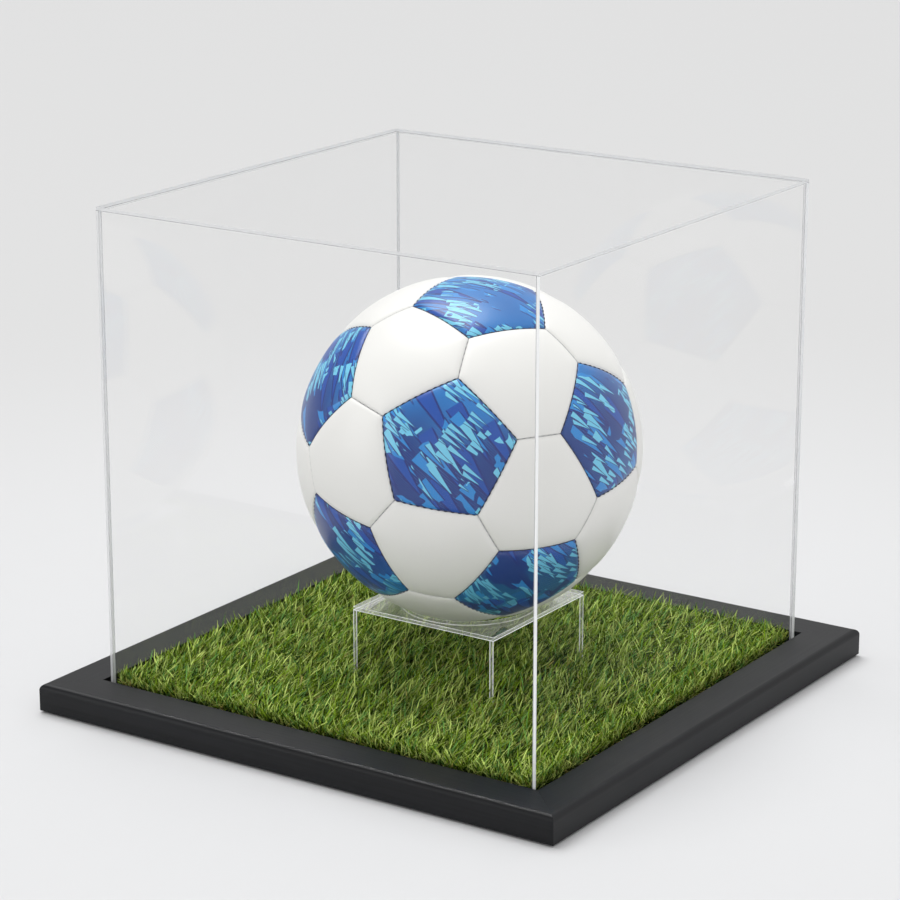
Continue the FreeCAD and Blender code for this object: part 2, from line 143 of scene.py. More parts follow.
class Board:
    """The node tree of one material."""

    def __init__(self, name: str) -> None:
        """Makes an empty material.

        Args:
            name: the material's name.
        """
        self.material = bpy.data.materials.new(name)
        self.material.use_nodes = True
        self.tree = self.material.node_tree
        self.tree.nodes.clear()

    def node(
        self,
        kind: str,
        settings: dict | None = None,
        inputs: dict | None = None,
        out: str | int = 0,
    ) -> Field:
        """Adds a node.

        Args:
            kind: the node's type.
            settings: its properties.
            inputs: values or fields for its sockets, by name or number.
            out: the output that is returned.

        Returns:
            The chosen output.
        """
        made = self.tree.nodes.new(kind)
        for key, value in (settings or {}).items():
            setattr(made, key, value)
        for key, value in (inputs or {}).items():
            if isinstance(value, Field):
                self.tree.links.new(value.socket, made.inputs[key])
            elif made.inputs[key].type == "RGBA":
                made.inputs[key].default_value = (*value, 1.0)
            else:
                made.inputs[key].default_value = value
        return Field(self, made.outputs[out])

    def math(self, operation: str, *values: Field | float) -> Field:
        """A Math node on the values."""
        return self.node("ShaderNodeMath", {"operation": operation}, dict(enumerate(values)))

    def place(self) -> Field:
        """Where a point is on the object, in metres."""
        return self.node("ShaderNodeTexCoord", out="Object")

    def axes(self, vector: Field) -> tuple[Field, Field, Field]:
        """The three parts of a vector."""
        parts = self.node("ShaderNodeSeparateXYZ", {}, {"Vector": vector})
        return parts.out("X"), parts.out("Y"), parts.out("Z")

    def attribute(self, name: str) -> Field:
        """A number that is stored on the mesh."""
        return self.node("ShaderNodeAttribute", {"attribute_name": name}, {}, "Fac")

    def turned(
        self, vector: Field, turn: Triple = (0.0, 0.0, 0.0), scale: Triple = (1.0, 1.0, 1.0)
    ) -> Field:
        """Turns and scales a vector.

        Args:
            vector: the vector.
            turn: the turn about each axis, in radians.
            scale: the scale along each axis.

        Returns:
            The vector after a Mapping node.
        """
        inputs = {"Vector": vector, "Rotation": turn, "Scale": scale}
        return self.node("ShaderNodeMapping", {}, inputs)

    def noise(
        self, vector: Field, scale: float, detail: float = 2.0, rough: float = 0.5
    ) -> Field:
        """Soft noise.

        Args:
            vector: where the noise is read.
            scale: how fine it is.
            detail: how many finer layers it has.
            rough: how strong the finer layers are.

        Returns:
            The noise, from 0 to 1.
        """
        inputs = {"Vector": vector, "Scale": scale, "Detail": detail, "Roughness": rough}
        return self.node("ShaderNodeTexNoise", {}, inputs)

    def mix(
        self, share: Field | float, first: "Field | Colour", second: "Field | Colour"
    ) -> Field:
        """Two colours mixed.

        Args:
            share: 0 gives the first, 1 the second.
            first: a colour.
            second: a colour.

        Returns:
            The mixed colour.
        """
        inputs = {0: share, 6: first, 7: second}
        return self.node("ShaderNodeMix", {"data_type": "RGBA"}, inputs, 2)

    def bump(self, height: Field, depth: float, strength: float = 1.0) -> Field:
        """A normal from a height field.

        Args:
            height: the height, from 0 to 1.
            depth: how far 1 stands out, in metres.
            strength: the share of the effect.

        Returns:
            The normal.
        """
        inputs = {"Height": height, "Distance": depth, "Strength": strength}
        return self.node("ShaderNodeBump", {}, inputs)

    def shader(self, **inputs: "Field | float | Colour") -> Field:
        """A Principled shader.

        Args:
            inputs: its inputs; an underscore in a name stands for a space.

        Returns:
            The shader.
        """
        named = {key.replace("_", " "): value for key, value in inputs.items()}
        return self.node("ShaderNodeBsdfPrincipled", {}, named)

    def blend(self, share: Field | float, first: Field, second: Field) -> Field:
        """Two shaders mixed."""
        return self.node("ShaderNodeMixShader", {}, {0: share, 1: first, 2: second})

    def finish(self, surface: Field) -> bpy.types.Material:
        """Ends the tree in this surface.

        Args:
            surface: the shader that the material shows.

        Returns:
            The material.
        """
        end = self.tree.nodes.new("ShaderNodeOutputMaterial")
        self.tree.links.new(surface.socket, end.inputs["Surface"])
        return self.material


# ------------------------------------------------------------------- finishes


class Grain(Enum):
    """The way a rail's wood grain runs, as the scales along x, y and z."""

    ALONG_X = (6.0, 260.0, 260.0)
    ALONG_Y = (260.0, 6.0, 260.0)


@dataclass(frozen=True)
class Finish:
    """A named material, made once."""

    name: str

    def material(self) -> bpy.types.Material:
        """The material, built at its first use."""
        return bpy.data.materials.get(self.name) or self.build(Board(self.name))

    def build(self, board: Board) -> bpy.types.Material:
        """Fills the board; each finish has its own."""
        raise NotImplementedError


@dataclass(frozen=True)
class StainedWood(Finish):
    """Black satin stain over close straight grain, with a fine line at each mitre."""

    grain: Grain
    dark: Colour = (0.0026, 0.0029, 0.0038)
    light: Colour = (0.0078, 0.0084, 0.0102)
    mitre_colour: Colour = (0.001, 0.001, 0.001)
    mitre_line: float = 0.16 * MM
    pore_fineness: float = 3.1
    relief: float = 0.08 * MM

    def build(self, board: Board) -> bpy.types.Material:
        """Grain in colour, gloss and bump.

        Args:
            board: the material's empty tree.

        Returns:
            The material.
        """
        place = board.place()
        x, y, _ = board.axes(place)
        grain = board.noise(board.turned(place, scale=self.grain.value), 1.0, 4.0, 0.6)
        fine = tuple(self.pore_fineness * scale for scale in self.grain.value)
        pores = board.noise(board.turned(place, scale=fine), 1.0, 2.0)
        cloud = board.noise(place, 18.0, 2.0)
        mitre = abs(abs(x) - abs(y)) < self.mitre_line
        colour = board.mix(grain.eased(0.3, 0.7), self.dark, self.light)
        colour = board.mix(mitre * 0.8, colour, self.mitre_colour)
        height = grain * 0.7 + pores * 0.5 - mitre * 1.5
        surface = board.shader(
            Base_Color=colour,
            Roughness=0.29 + grain * 0.16 + cloud * 0.08,
            IOR=1.32,
            Normal=board.bump(height, self.relief),
        )
        return board.finish(surface)


@dataclass(frozen=True)
class ClearSheet(Finish):
    """Clear acrylic sheet: faces that mirror a little, and cut edges with painted highlights,
    painted shade lines and a painted glow.
    """

    low: Triple
    high: Triple
    bore_centre: tuple[float, float] = (0.0, 0.0)
    bore_radius: float = 0.0
    face_tint: Colour = (0.996, 0.996, 0.996)
    face_gloss: float = 0.0015
    grazing_gloss: float = 0.10
    mirror_colour: Colour = (1.0, 1.0, 1.0)
    mirror_rough: float = 0.02
    # painted highlight on the cut edges
    edge_colour: Colour = (0.80, 0.81, 0.82)
    # painted line along the outer arris: painted shade on the cover, a painted highlight on the
    # riser
    arris_colour: Colour = (0.30, 0.31, 0.32)
    edge_alpha: float = 0.72
    arris_alpha: float = 0.60
    arris_share: float = 0.70
    both_arrises: bool = False
    # how much noise dims the painted glints along each arris
    dulled: float = 0.15
    # painted glow of the cut edges, an emission though they are no lamp
    edge_glow: float = 0.0
    edge_skin: float = 0.12 * MM

    @classmethod
    def around(cls, node: str, **looks: "Colour | float | bool") -> "ClearSheet":
        """The finish of one sheet of the frame.

        Args:
            node: the sheet's node, whose box tells faces from edges.
            looks: fields that differ from the usual ones.

        Returns:
            The finish.
        """
        low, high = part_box(node)
        return cls(f"{node}_acrylic", tuple(low), tuple(high), **looks)

    def build(self, board: Board) -> bpy.types.Material:
        """Faces mixed with the edges by where a point is on the sheet; the edges carry painted
        highlight and painted shade.

        Args:
            board: the material's empty tree.

        Returns:
            The material.
        """
        place = board.place()
        x, y, z = board.axes(place)
        sides = [high - low for low, high in zip(self.low, self.high)]
        edge: Field | None = None
        for part, low, high, side in zip((x, y, z), self.low, self.high, sides):
            if side == min(sides):
                inward = (part - (low + high) / 2) * (-1.0 if low + high > 0 else 1.0)
                inward = abs(inward) if self.both_arrises else inward
                # the outer part of each cut edge, where the painted arris line goes
                arris = inward > side / 2 * self.arris_share
                continue
            out = abs(part - (low + high) / 2) > side / 2 - self.edge_skin
            edge = out if edge is None else edge.highest(out)
        if self.bore_radius:
            across, along = x - self.bore_centre[0], y - self.bore_centre[1]
            radius = (across * across + along * along) ** 0.5
            # the seat's rim gets the same painted edge highlight
            edge = edge.highest(radius < self.bore_radius + self.edge_skin)
        facing = board.node("ShaderNodeLayerWeight", {}, {"Blend": 0.5}, "Facing")
        gloss = self.face_gloss + self.grazing_gloss * facing**5
        clear = board.node("ShaderNodeBsdfTransparent", {}, {"Color": self.face_tint})
        polish = {"Roughness": self.mirror_rough, "Color": self.mirror_colour}
        mirror = board.node("ShaderNodeBsdfGlossy", {}, polish)
        saw = board.noise(place, 900.0, 2.0)
        # painted glints: noise brightens and dims the arris line
        glint = 1 - board.noise(place, 38.0, 1.0).eased(0.42, 0.62) * self.dulled
        # the cut edges: painted highlight colour, a painted line at the arris and a painted glow
        cut = board.shader(
            Base_Color=board.mix(arris, self.edge_colour, self.arris_colour),
            Roughness=0.12 + saw * 0.1,
            Alpha=self.edge_alpha + arris * (glint * self.arris_alpha - self.edge_alpha),
            # painted glow in the edge's own colour
            Emission_Color=self.edge_colour,
            Emission_Strength=self.edge_glow,
        )
        return board.finish(board.blend(edge, board.blend(gloss, clear, mirror), cut))


@dataclass(frozen=True)
class GrassBlade(Finish):
    """Thin green plastic blades, with painted shade darkening them towards the root."""

    # painted shade at the blade's root
    root: Colour
    tip: Colour
    shade: float = 0.42
    root_end: float = 0.05
    tip_start: float = 0.75

    def build(self, board: Board) -> bpy.types.Material:
        """Colour from the blade's own tint, with painted shade by its height along the blade.

        Args:
            board: the material's empty tree.

        Returns:
            The material.
        """
        tint = board.attribute("tint")
        body = board.mix(tint, tuple(self.shade * c for c in self.tip), self.tip)
        # painted shade down among the blades: the root colour gives way to the blade's own with
        # height
        rise = board.attribute("rise").eased(self.root_end, self.tip_start)
        colour = board.mix(rise, self.root, body)
        ribs = board.noise(board.place(), 1400.0, 1.0)
        surface = board.shader(
            Base_Color=colour,
            Roughness=0.46 + ribs * 0.16,
            IOR=1.28,
            Specular_IOR_Level=0.10,
            Normal=board.bump(ribs, 0.05 * MM, 0.5),
        )
        return board.finish(surface)


@dataclass(frozen=True)
class WovenBacking(Finish):
    """Dark green-black woven backing under the turf."""

    low: Colour = (0.006, 0.009, 0.004)
    high: Colour = (0.020, 0.030, 0.012)
    threads: float = 2600.0
    relief: float = 0.3 * MM

    def build(self, board: Board) -> bpy.types.Material:
        """A square weave in colour and bump.

        Args:
            board: the material's empty tree.

        Returns:
            The material.
        """
        x, y, _ = board.axes(board.place())
        over = board.math("SINE", x * self.threads) * board.math("SINE", y * self.threads)
        weave = over * 0.5 + 0.5
        surface = board.shader(
            Base_Color=board.mix(weave, self.low, self.high),
            Roughness=0.85,
            Normal=board.bump(weave, self.relief),
        )
        return board.finish(surface)


@dataclass(frozen=True)
class CoatedPanel(Finish):
    """Warm white coated leather with a fine pebble, and painted shade right in the seam."""

    light: Colour = (0.90, 0.895, 0.865)
    # painted shade in the seam crease
    seam: Colour = (0.42, 0.42, 0.44)

    def build(self, board: Board) -> bpy.types.Material:
        """White with soft painted shade in the seam.

        Args:
            board: the material's empty tree.

        Returns:
            The material.
        """
        near = board.attribute("seam_mm")
        place = board.place()
        pebble = board.noise(place, 900.0, 3.0)
        cloud = board.noise(place, 26.0, 2.0)
        colour = board.mix(cloud, tuple(0.975 * c for c in self.light), self.light)
        # painted shade: grey towards the seam, by the distance stored on the mesh
        colour = board.mix(1 - near.eased(0.05, 0.55), colour, self.seam)
        surface = board.shader(
            Base_Color=colour,
            Roughness=0.33 + pebble * 0.08 + cloud * 0.05,
            Coat_Weight=0.16,
            Coat_Roughness=0.20,
            Normal=board.bump(pebble, 0.05 * MM, 0.5),
        )
        return board.finish(surface)


@dataclass(frozen=True)
class PrintedPanel(Finish):
    """Blue coated leather printed with long splinters and fine stripes."""

    navy: Colour = (0.022, 0.036, 0.200)
    royal: Colour = (0.020, 0.090, 0.420)
    azure: Colour = (0.028, 0.200, 0.560)
    sky: Colour = (0.035, 0.270, 0.680)
    ice: Colour = (0.190, 0.620, 0.850)
    teal: Colour = (0.02, 0.30, 0.42)
    # painted shade in the seam crease
    seam: Colour = (0.012, 0.016, 0.05)
    stripe_pitch: float = 1.3 * MM
    lane_shift: float = 7.0
    outline_width: float = 0.055

    def shards(
        self, board: Board, uv: Field, turn: float, width: float, length: float, chance: float
    ) -> tuple[Field, Field]:
        """One layer of thin triangles that all point the same way.

        Args:
            board: the material's tree.
            uv: the panel's own plane.
            turn: the way the triangles point, in radians.
            width: a triangle's base.
            length: a triangle's length.
            chance: the share of places that hold a triangle.

        Returns:
            The triangles, and their outlines.
        """
        u, v, _ = board.axes(board.turned(uv, (0.0, 0.0, turn)))
        column = u / width
        lane = board.math("FLOOR", column)
        white = "ShaderNodeTexWhiteNoise"
        shift = board.node(white, {"noise_dimensions": "1D"}, {"W": lane}, "Value")
        row = v / length + shift * self.lane_shift
        cell = board.node("ShaderNodeCombineXYZ", {}, {"X": lane, "Y": board.math("FLOOR", row)})
        pick = board.node(white, {"noise_dimensions": "2D"}, {"Vector": cell}, "Value")
        across = abs(board.math("FRACT", column) - 0.5)
        reach = board.math("FRACT", row) * 0.5
        held = pick > 1 - chance
        outline = abs(across - reach) < self.outline_width
        return (across < reach) * held, outline * held

    def build(self, board: Board) -> bpy.types.Material:
        """Triangles in three blues over stripes, with painted light towards the top of the ball
        and a painted green reflection low down.

        Args:
            board: the material's empty tree.

        Returns:
            The material.
        """
        near = board.attribute("seam_mm")
        uv = board.node("ShaderNodeUVMap", {"uv_map": "panel"})
        place = board.place()
        _, _, high = board.axes(place)
        u, v, _ = board.axes(uv)
        slant = (u * 0.62 + v * 0.78) * (2 * math.pi / self.stripe_pitch)
        stripe = board.math("SINE", slant) > 0.25
        wash = board.noise(place, 16.0, 1.0)
        cluster = board.noise(place, 34.0, 2.0)
        # the wash is the print's own uneven tone; the lift towards the top of the ball is painted
        # light from above
        bright = (wash * 1.6 - 0.62 + high.eased(0.15, 0.27) * 0.75).eased(0.1, 0.9)
        colour = board.mix(bright, self.navy, self.azure)
        colour = board.mix(stripe * 0.24, colour, self.sky)
        for turn, width, length, chance, paint, start in (
            (-0.62, 12.0 * MM, 46.0 * MM, 0.55, self.royal, 0.0),
            (-0.80, 8.6 * MM, 36.0 * MM, 0.60, self.sky, 0.42),
            (-0.66, 6.2 * MM, 29.0 * MM, 0.55, self.ice, 0.46),
            (-0.95, 3.6 * MM, 18.0 * MM, 0.50, self.ice, 0.51),
        ):
            shard, outline = self.shards(board, uv, turn, width, length, chance)
            group = cluster > start
            colour = board.mix(shard * group, colour, paint)
            colour = board.mix(outline * group * 0.9, colour, self.navy)
        # painted reflection of the green turf: a teal tint in patches on the low part of the ball
        under = (1 - high.eased(0.075, 0.13)) * (cluster > 0.48) * 0.45
        colour = board.mix(under, colour, board.mix(0.75, self.sky, self.teal))
        # painted shade: dark towards the seam, by the distance stored on the mesh
        colour = board.mix(1 - near.eased(0.05, 0.5), colour, self.seam)
        pebble = board.noise(place, 900.0, 3.0)
        surface = board.shader(
            Base_Color=colour,
            Roughness=0.33 + pebble * 0.08,
            Coat_Weight=0.16,
            Coat_Roughness=0.20,
            Normal=board.bump(pebble, 0.05 * MM, 0.5),
        )
        return board.finish(surface)


@dataclass(frozen=True)
class Speckled(Finish):
    """A plain substance with its own speckle, for small and hidden parts."""

    dark: Colour
    light: Colour
    scale: float
    rough: float
    metal: float = 0.0
    depth: float = 0.05 * MM

    def build(self, board: Board) -> bpy.types.Material:
        """Speckle in colour, gloss and bump.

        Args:
            board: the material's empty tree.

        Returns:
            The material.
        """
        speck = board.noise(board.place(), self.scale, 4.0, 0.65)
        surface = board.shader(
            Base_Color=board.mix(speck.eased(0.25, 0.75), self.dark, self.light),
            Roughness=self.rough + speck * 0.1,
            Metallic=self.metal,
            Normal=board.bump(speck, self.depth),
        )
        return board.finish(surface)


@dataclass(frozen=True)
class PaleFloor(Finish):
    """A pale seamless floor with painted shade that darkens it a little far out, and the faintest
    unevenness.
    """

    colour: Colour = (0.668, 0.670, 0.677)
    # painted shade: the share of grey that the floor falls to far out
    far_share: float = 0.885
    near_end: float = 0.15
    far_start: float = 1.1

    def build(self, board: Board) -> bpy.types.Material:
        """Nearly flat pale paint.

        Args:
            board: the material's empty tree.

        Returns:
            The material.
        """
        place = board.place()
        x, y, _ = board.axes(place)
        # painted shade: the colour falls towards grey with distance from the middle
        far = ((x * x + y * y) ** 0.5).eased(self.near_end, self.far_start)
        dimmer = tuple(0.99 * c for c in self.colour)
        near = board.mix(board.noise(place, 0.8, 2.0), dimmer, self.colour)
        grey = self.far_share * min(self.colour)
        surface = board.shader(
            Base_Color=board.mix(far, near, (grey, grey, grey)),
            Roughness=0.75,
            Specular_IOR_Level=0.15,
        )
        return board.finish(surface)


FELT = Speckled(
    "dark_felt", (0.010, 0.010, 0.011), (0.035, 0.035, 0.038), 1500.0, 0.9, depth=0.3 * MM
)
ZINC = Speckled("zinc_plate", (0.42, 0.43, 0.44), (0.60, 0.61, 0.62), 700.0, 0.3, metal=1.0)
BOARD = Speckled(
    "fibreboard", (0.010, 0.008, 0.006), (0.026, 0.020, 0.015), 420.0, 0.75, depth=0.1 * MM
)
RUBBER = Speckled("black_rubber", (0.008, 0.008, 0.009), (0.018, 0.018, 0.020), 900.0, 0.55)
LINING = Speckled("woven_lining", (0.45, 0.43, 0.38), (0.62, 0.60, 0.54), 800.0, 0.85)
PALE_THREAD = Speckled("pale_thread", (0.50, 0.50, 0.50), (0.75, 0.75, 0.74), 2500.0, 0.7)
THREAD = Speckled("seam_thread", (0.010, 0.012, 0.035), (0.030, 0.034, 0.080), 2500.0, 0.7)


# -------------------------------------------------------------------- helpers


def deselect() -> None:
    """Leaves edit mode and selects nothing."""
    if bpy.context.object and bpy.context.object.mode != "OBJECT":
        bpy.ops.object.mode_set(mode="OBJECT")
    bpy.ops.object.select_all(action="DESELECT")


def named(name: str) -> bpy.types.Object:
    """Names the object that an operator has just made.

    Args:
        name: its name, and its mesh's.

    Returns:
        The object.
    """
    made = bpy.context.object
    made.name = made.data.name = name
    return made


def dress(node: str, finish: Finish) -> None:
    """Gives the frame's own node its finish."""
    for slot in frame["nodes"][node].material_slots:
        slot.material = finish.material()


def settle(piece: bpy.types.Object, body: str, finish: Finish) -> None:
    """Gives a finished piece its material, body and slot.

    Args:
        piece: the piece.
        body: the frame body that it rides on.
        finish: its finish.
    """
    piece.data.materials.clear()
    piece.data.materials.append(finish.material())
    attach(piece, body)


@dataclass
class Pattern:
    """One modelled shape to copy: its points and its faces."""

    points: np.ndarray
    faces: list[tuple[int, ...]]

    @classmethod
    def taken(cls, made: bpy.types.Object) -> "Pattern":
        """Reads a modelled object's mesh, then removes the object.

        Args:
            made: the object.

        Returns:
            The pattern.
        """
        points = np.array([v.co[:] for v in made.data.vertices])
        faces = [tuple(p.vertices) for p in made.data.polygons]
        bpy.data.objects.remove(made, do_unlink=True)
        return cls(points, faces)

    def copies(self, name: str, points: np.ndarray) -> bpy.types.Object:
        """One mesh of many copies.

        Args:
            name: the new piece's name.
            points: every copy's points, as an array of copies x points x 3.

        Returns:
            The new piece.
        """
        starts = range(0, len(points) * len(self.points), len(self.points))
        faces = [tuple(start + i for i in face) for start in starts for face in self.faces]
        mesh = bpy.data.meshes.new(name)
        mesh.from_pydata(points.reshape(-1, 3).tolist(), [], faces)
        mesh.polygons.foreach_set("use_smooth", [True] * len(faces))
        made = bpy.data.objects.new(name, mesh)
        bpy.context.collection.objects.link(made)
        return made


def turned(
    first: np.ndarray, second: np.ndarray, angle: np.ndarray
) -> tuple[np.ndarray, np.ndarray]:
    """Turns each copy of a shape in a plane.

    Args:
        first: the points' places along the plane's first axis, a row for each copy.
        second: their places along its second axis.
        angle: each copy's turn from the first axis to the second.

    Returns:
        The turned places, along each axis.
    """
    cos, sin = np.cos(angle)[:, None], np.sin(angle)[:, None]
    return first * cos - second * sin, first * sin + second * cos


def store(mesh: bpy.types.Mesh, name: str, values: np.ndarray) -> None:
    """Stores one number for each point of a mesh."""
    layer = mesh.attributes.new(name, "FLOAT", "POINT")
    layer.data.foreach_set("value", values.astype(np.float32))


# --------------------------------------------------------------- sub-assemblies


@dataclass
class Base:
    """The mitred wooden frame, its board, its fixings and its felt feet."""

    def build(self) -> None:
        """Dresses the frame's own nodes."""
        for grain, sides in (
            (Grain.ALONG_X, ("front", "back")),
            (Grain.ALONG_Y, ("left", "right")),
        ):
            for side in sides:
                stain = StainedWood(f"black_stain_{grain.name.lower()}", grain)
                dress(f"frame_rail_{side}", stain)
        dress("corner_v_nails", ZINC)
        dress("board_screws", ZINC)
        dress("felt_pads", FELT)
        dress("base_board", BOARD)
        logging.info("base: rails, board, fixings and pads dressed")


@dataclass(frozen=True)
class BladeKind:
    """One kind of grass blade; length and tilt are against the turf's own."""

    name: str
    per_tuft: float
    length: float
    tilt: float
    # painted shade at the blade's root
    root: Colour
    tip: Colour


@dataclass
class Turf:
    """Loose plastic grass on a woven backing."""

    kinds: tuple[BladeKind, ...] = (
        # each kind's first colour is painted shade at the root, the second the blade's own colour
        # at the tip
        BladeKind("grass_bright", 4.5, 1.12, 1.00, (0.026, 0.048, 0.001), (0.800, 0.980, 0.250)),
        BladeKind("grass_mid", 4.5, 1.10, 1.00, (0.012, 0.026, 0.001), (0.300, 0.470, 0.030)),
        BladeKind("grass_deep", 4.6, 0.98, 1.00, (0.002, 0.005, 0.001), (0.038, 0.080, 0.003)),
        BladeKind("grass_cool", 1.8, 1.15, 1.00, (0.008, 0.022, 0.002), (0.210, 0.470, 0.105)),
        BladeKind("grass_straw", 1.8, 0.85, 1.20, (0.050, 0.038, 0.004), (0.760, 0.660, 0.180)),
    )
    blade_width: float = 0.78 * MM
    blade_length: float = 17.0 * MM
    sections: int = 4
    section_bend: float = math.radians(11.0)
    section_taper: float = 0.92
    tip_taper: float = 0.30
    tuft_pitch: float = 4.6 * MM
    tuft_shift: float = 0.28
    root_shift: float = 0.7 * MM
    root_rise: float = 0.1 * MM
    length_range: tuple[float, float] = (0.45, 1.15)
    width_range: tuple[float, float] = (0.75, 1.15)
    turn_spread: float = 0.9
    border_pitch: float = 1.5 * MM
    border_depth: float = 2.5 * MM
    border_size: float = 0.80
    border_tilt: float = 0.55
    wall_room: float = 157.2 * MM
    leg_room: float = 0.35 * MM
    lean_way: float = math.radians(60.0)
    lean_spread: float = math.radians(56.0)
    tilt: float = math.radians(50.0)
    tilt_spread: float = math.radians(20.0)
    seed: int = 11

    def blade(self) -> Pattern:
        """Models one blade, a tapering strip that bends over towards +y.

        Returns:
            The blade's pattern, with its root at the origin.
        """
        step = self.blade_length / self.sections
        deselect()
        bpy.ops.mesh.primitive_plane_add(size=1.0, rotation=(math.pi / 2, 0.0, 0.0))
        made = named("blade")
        bpy.ops.transform.resize(value=(self.blade_width, 1.0, step))
        bpy.ops.object.transform_apply(location=True, rotation=True, scale=True)
        bpy.ops.object.mode_set(mode="EDIT")
        bpy.ops.mesh.select_all(action="SELECT")
        bpy.ops.transform.translate(value=(0.0, 0.0, step / 2))
        bpy.ops.mesh.select_mode(type="VERT")
        bpy.ops.mesh.select_all(action="DESELECT")
        bpy.ops.object.mode_set(mode="OBJECT")
        for vertex in made.data.vertices:
            vertex.select = vertex.co.z > step / 2
        made.data.update()
        bpy.ops.object.mode_set(mode="EDIT")
        for section in range(1, self.sections):
            bend = self.section_bend * section
            move = (0.0, step * math.sin(bend), step * math.cos(bend))
            bpy.ops.mesh.extrude_region_move(TRANSFORM_OT_translate={"value": move})
            narrow = self.section_taper if section < self.sections - 1 else self.tip_taper
            bpy.ops.transform.resize(value=(narrow, 1.0, 1.0))
        bpy.ops.object.mode_set(mode="OBJECT")
        return Pattern.taken(made)

    def tufts(self, random: np.random.Generator) -> np.ndarray:
        """Places the tufts on an uneven grid and along the backing's border.

        Args:
            random: where the unevenness comes from.

        Returns:
            A row for each tuft: x, y, and 1 where it stands along the border.
        """
        low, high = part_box("turf_backing")
        steps = np.arange(low.x + self.tuft_pitch / 2, high.x, self.tuft_pitch)
        grid = np.array([(x, y) for x in steps for y in steps])
        grid += random.normal(0.0, self.tuft_pitch * self.tuft_shift, grid.shape)
        along = np.arange(low.x, high.x, self.border_pitch)
        side = high.x - random.uniform(0.0, self.border_depth, len(along))
        borders = ((along, side), (along, -side), (side, along), (-side, along))
        places = np.concatenate([grid] + [np.stack(border, 1) for border in borders])
        return np.column_stack([places, np.arange(len(places)) >= len(grid)])

    def clear_of_legs(self, points: np.ndarray) -> np.ndarray:
        """Finds the blades that stay off the riser's two legs.

        Args:
            points: every blade's points, as an array of blades x points x 3.

        Returns:
            True for each blade that is clear of both legs.
        """
        clear = np.ones(len(points), dtype=bool)
        for leg in ("riser_leg_left", "riser_leg_right"):
            low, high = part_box(leg)
            x, y = points[:, :, 0], points[:, :, 1]
            beside = (x.max(1) < low.x - self.leg_room) | (x.min(1) > high.x + self.leg_room)
            beyond = (y.max(1) < low.y - self.leg_room) | (y.min(1) > high.y + self.leg_room)
            clear &= beside | beyond
        return clear

    def grow(self, pattern: Pattern, kind: BladeKind) -> None:
        """Grows one kind of blade all over the bed.

        Args:
            pattern: the modelled blade.
            kind: how many of them there are, and how they look.
        """
        random = np.random.default_rng(self.seed + len(kind.name))
        roots = self.tufts(random)
        roots = roots[random.integers(0, len(roots), int(kind.per_tuft * len(roots)))]
        count = len(roots)
        edge = roots[:, 2] > 0
        roots = roots[:, :2] + random.normal(0.0, self.root_shift, (count, 2))
        size = kind.length * random.uniform(*self.length_range, count)
        size *= np.where(edge, self.border_size, 1.0)
        width = random.uniform(*self.width_range, count)
        turn = random.normal(0.0, self.turn_spread, count)
        lean = np.abs(random.normal(self.tilt * kind.tilt, self.tilt_spread, count))
        lean = np.where(edge, lean * self.border_tilt, lean)
        way = random.normal(self.lean_way - math.pi / 2, self.lean_spread, count)
        way = np.where(edge, random.uniform(0.0, 2 * math.pi, count), way)
        x, y, z = (pattern.points[None, :, i] for i in range(3))
        x, y, z = x * width[:, None], y * size[:, None], z * size[:, None]
        x, y = turned(x, y, turn)
        z, y = turned(z, y, lean)
        x, y = turned(x, y, way)
        z = np.maximum(z, self.root_rise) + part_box("turf_backing")[1].z
        points = np.stack([x + roots[:, :1], y + roots[:, 1:], z], 2)
        points[:, :, :2] = points[:, :, :2].clip(-self.wall_room, self.wall_room)
        points = points[self.clear_of_legs(points)]
        made = pattern.copies(kind.name, points)
        tint = random.uniform(0.0, 1.0, len(points))
        store(made.data, "tint", np.repeat(tint, len(pattern.points)))
        rise = pattern.points[:, 2] / pattern.points[:, 2].max()
        store(made.data, "rise", np.tile(rise, len(points)))
        finish = GrassBlade(f"{kind.name}_finish", kind.root, kind.tip)
        settle(made, "base", finish)
        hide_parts("turf_pile")
        logging.info("turf: %s, %d blades", kind.name, len(points))

    def build(self) -> None:
        """Grows every kind of blade and dresses the backing."""
        pattern = self.blade()
        dress("turf_backing", WovenBacking("turf_weave"))
        for kind in self.kinds:
            self.grow(pattern, kind)


@dataclass
class Cover:
    """The clear lift-off cover of five sheets."""

    clearest: tuple[str, ...] = ("cover_top", "cover_right", "cover_front")
    mirroring: tuple[str, ...] = ("cover_left", "cover_back")
    mirror_gloss: float = 0.021
    mirror_grazing: float = 0.5
    # the sheet whose cut edges get a brighter painted highlight and a painted glow
    bright_sheet: str = "cover_right"
    bright_colour: Colour = (0.93, 0.94, 0.95)
    bright_alpha: float = 0.88
    bright_glow: float = 0.10

    def build(self) -> None:
        """Dresses each sheet with painted highlights on its cut edges; two mirror more than the
        rest, and one has brighter painted edges with a painted glow.
        """
        for sheet in self.clearest + self.mirroring:
            finish = ClearSheet.around(sheet)
            if sheet in self.mirroring:
                finish = replace(
                    finish, face_gloss=self.mirror_gloss, grazing_gloss=self.mirror_grazing
                )
            # brighter painted highlight and painted glow on this sheet's edges
            if sheet == self.bright_sheet:
                finish = replace(
                    finish,
                    edge_colour=self.bright_colour,
                    edge_alpha=self.bright_alpha,
                    edge_glow=self.bright_glow,
                )
            dress(sheet, finish)
        logging.info("cover: five clear sheets dressed")


